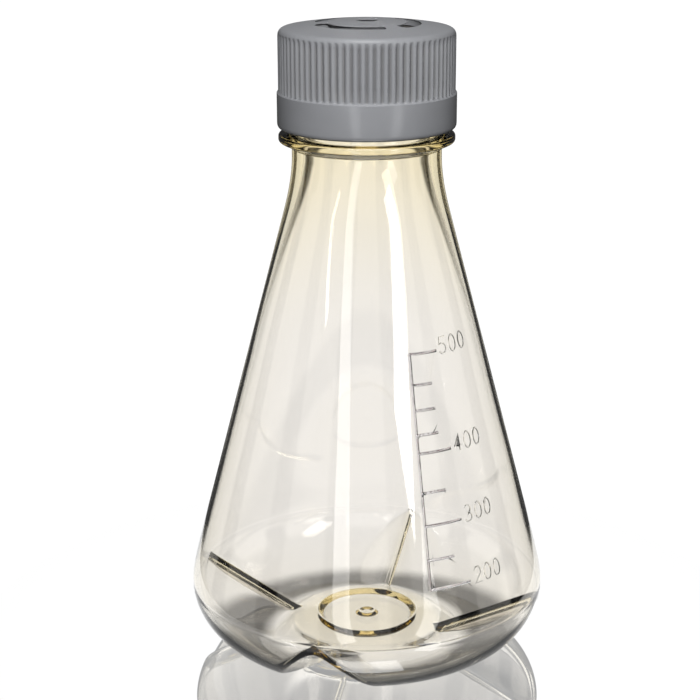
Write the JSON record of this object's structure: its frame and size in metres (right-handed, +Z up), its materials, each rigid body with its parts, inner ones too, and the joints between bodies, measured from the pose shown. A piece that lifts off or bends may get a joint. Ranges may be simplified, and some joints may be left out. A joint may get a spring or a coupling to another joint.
{
  "type": "baffled erlenmeyer shake flask with vented screw cap",
  "caption": "Clear conical culture flask with moulded baffles in its rounded base, a narrow neck with a support ring, and a ribbed grey screw cap whose vents breathe through a membrane.",
  "frame": {"origin": "centre of the face that the flask stands on", "axes": "+Z up along the flask's axis, -Y towards the volume scale's side, +X to the right as seen from there"},
  "size_m": [0.1038, 0.1038, 0.1832],
  "materials": {
    "clear_polycarbonate": "clear polished polycarbonate with a faint straw tint that deepens in the thick neck",
    "grey_polypropylene": "semi-gloss moulded mid grey",
    "membrane": "matt hydrophobic membrane",
    "nonwoven": "bonded white nonwoven",
    "natural_polypropylene": "natural translucent moulding",
    "silicone": "smooth soft white"
  },
  "bodies": {
    "flask": {"flask_body": "clear_polycarbonate"},
    "seal": {"liner_ring": "silicone"},
    "cap": {"cap_shell": "grey_polypropylene", "vent_membrane": "membrane", "membrane_scrim": "nonwoven", "membrane_retainer": "natural_polypropylene"}
  },
  "joints": [
    {"name": "liner_lift", "type": "slide", "parent": "flask", "child": "seal", "axis": [0, 0, 1], "range_m": [0, 0.028]},
    {"name": "cap_turn", "type": "hinge", "parent": "seal", "child": "cap", "pos_m": [0, 0, 0.168], "axis": [0, 0, 1], "range_deg": [0, 2520]}
  ],
  "couplings": [
    {"joint": "liner_lift", "follows": "cap_turn", "m_per_rad": 0.0006366}
  ]
}
